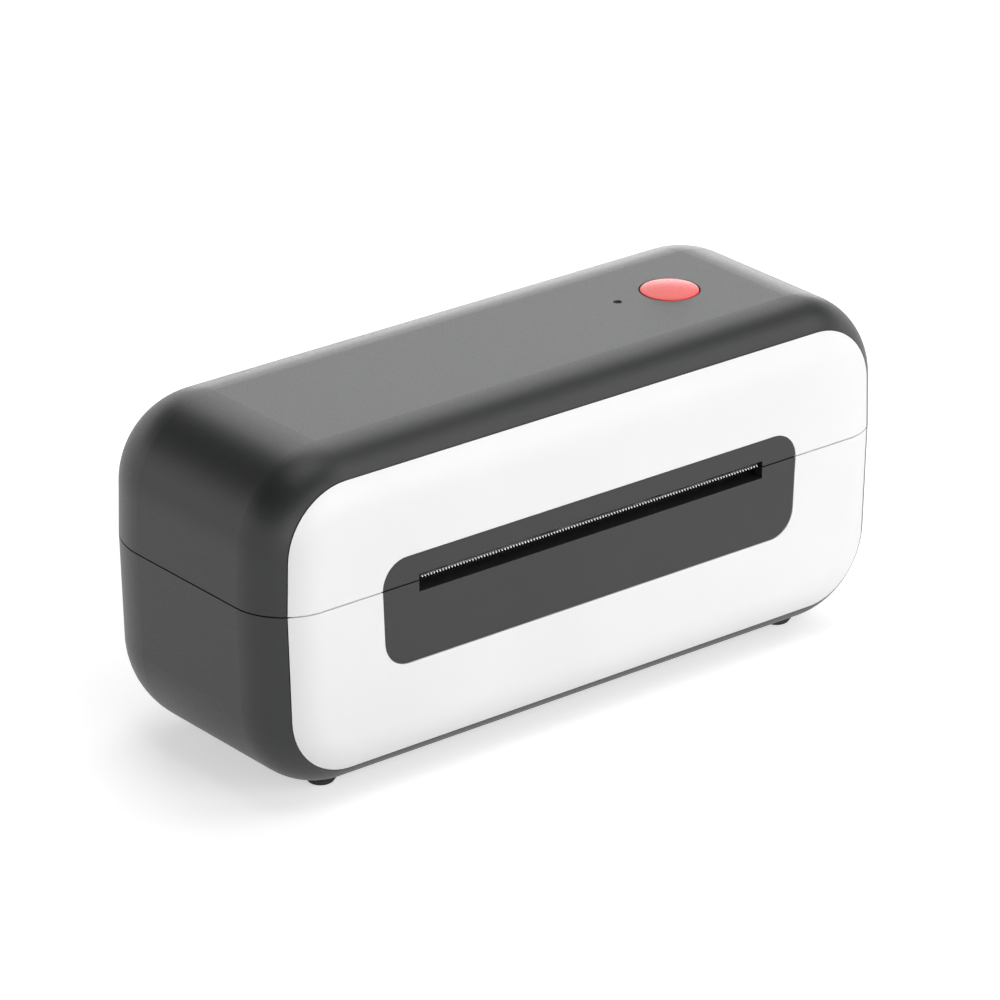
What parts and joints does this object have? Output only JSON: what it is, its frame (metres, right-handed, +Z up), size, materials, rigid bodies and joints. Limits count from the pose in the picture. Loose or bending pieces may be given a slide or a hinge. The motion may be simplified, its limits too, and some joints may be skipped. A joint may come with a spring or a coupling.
{
  "type": "label printer",
  "caption": "Desktop thermal printer for shipping labels: rounded grey case, white front, dark bezel with a label slot, hinged lid with a round button.",
  "frame": {"origin": "on the table under the middle of the case, at the treads of the feet", "axes": "-Y is the front with the label slot, +X is to the right seen from the front, +Z is up"},
  "size_m": [0.216, 0.0864, 0.1],
  "materials": {
    "case_grey": "fine moulded texture",
    "panel_white": "smooth satin",
    "bezel_grey": "satin",
    "button_red": "satin",
    "foot_rubber": "matt",
    "inner_black": "moulded",
    "guide_grey": "moulded",
    "steel": "cold rolled",
    "roller_rubber": "ground",
    "gear_nylon": "natural acetal",
    "motor_steel": "zinc plated",
    "aluminium": "die cast",
    "ceramic": "glazed",
    "board_green": "solder mask",
    "chip_black": "moulded epoxy",
    "connector_white": "moulded nylon",
    "lens_clear": "clear moulded"
  },
  "bodies": {
    "base": {"base_shell": "case_grey", "base_front_panel": "panel_white", "base_bezel": "bezel_grey", "rubber_feet": "foot_rubber", "chassis_frame": "inner_black", "platen_bushes": "gear_nylon", "idler_stud": "steel", "gear_plate": "steel", "stepper_motor": "motor_steel", "guide_stud": "steel", "gap_sensor": "chip_black", "main_board": "board_green", "board_chips": "chip_black", "board_capacitor": "chip_black", "board_connectors": "connector_white", "power_jack": "chip_black", "usb_port": "steel", "switch_housing": "inner_black", "catch_pins": "steel", "hinge_pins": "steel"},
    "lid": {"lid_shell": "case_grey", "lid_front_panel": "panel_white", "lid_bezel": "bezel_grey", "tear_bar": "steel", "light_pipe": "lens_clear", "lid_frame": "inner_black", "head_bracket": "steel", "head_pins": "steel", "head_springs": "steel", "button_board": "board_green", "button_switch": "chip_black", "status_lamp": "lens_clear"},
    "platen": {"platen_shaft": "steel", "platen_rubber": "roller_rubber", "platen_gear": "gear_nylon"},
    "idler": {"idler_gear": "gear_nylon"},
    "motor_rotor": {"motor_shaft": "steel", "motor_pinion": "gear_nylon"},
    "left_guide": {"left_guide": "guide_grey"},
    "right_guide": {"right_guide": "guide_grey"},
    "guide_pinion": {"guide_pinion": "gear_nylon"},
    "rocker": {"power_rocker": "inner_black"},
    "button": {"feed_button": "button_red"},
    "head": {"head_heat_sink": "aluminium", "head_substrate": "ceramic", "head_connector": "connector_white"},
    "latch": {"latch_rod": "steel", "latch_hooks": "steel"}
  },
  "joints": [
    {"name": "lid_hinge", "type": "hinge", "parent": "base", "child": "lid", "pos_m": [0, 0.03975, 0.0516], "axis": [-1, 0, 0], "range_deg": [0, 78]},
    {"name": "platen_spin", "type": "hinge", "parent": "base", "child": "platen", "pos_m": [0, -0.02425, 0.0487], "axis": [1, 0, 0], "continuous": true},
    {"name": "idler_spin", "type": "hinge", "parent": "base", "child": "idler", "pos_m": [0, -0.01765, 0.03727], "axis": [1, 0, 0], "continuous": true},
    {"name": "rotor_spin", "type": "hinge", "parent": "base", "child": "motor_rotor", "pos_m": [0, -0.00389, 0.02763], "axis": [1, 0, 0], "continuous": true},
    {"name": "left_guide_slide", "type": "slide", "parent": "base", "child": "left_guide", "axis": [1, 0, 0], "range_m": [0, 0.03]},
    {"name": "right_guide_slide", "type": "slide", "parent": "base", "child": "right_guide", "axis": [-1, 0, 0], "range_m": [0, 0.03]},
    {"name": "guide_pinion_spin", "type": "hinge", "parent": "base", "child": "guide_pinion", "pos_m": [0, 0.02375, 0.0538], "axis": [0, 0, 1], "range_deg": [0, 307]},
    {"name": "rocker_tilt", "type": "hinge", "parent": "base", "child": "rocker", "pos_m": [0.014, 0.04005, 0.0407], "axis": [0, 0, 1], "range_deg": [0, 16]},
    {"name": "button_press", "type": "slide", "parent": "lid", "child": "button", "axis": [0, 0, -1], "range_m": [0, 0.0008], "stiffness_N_per_m": 400, "springref_m": -0.0005},
    {"name": "head_float", "type": "hinge", "parent": "lid", "child": "head", "pos_m": [0, -0.00775, 0.0658], "axis": [-1, 0, 0], "range_deg": [0, 2], "stiffness_Nm_per_rad": 1.1, "springref_deg": -10.31, "deforming": ["head_springs"]},
    {"name": "latch_swing", "type": "hinge", "parent": "lid", "child": "latch", "pos_m": [0, -0.00125, 0.0676], "axis": [1, 0, 0], "range_deg": [0, 10], "stiffness_Nm_per_rad": 0.06, "springref_deg": -11.46}
  ],
  "couplings": [
    {"joint": "idler_spin", "follows": "platen_spin", "ratio": -1.75},
    {"joint": "rotor_spin", "follows": "platen_spin", "ratio": 6.4167},
    {"joint": "right_guide_slide", "follows": "left_guide_slide", "ratio": 1},
    {"joint": "guide_pinion_spin", "follows": "left_guide_slide", "rad_per_m": 178.57}
  ]
}
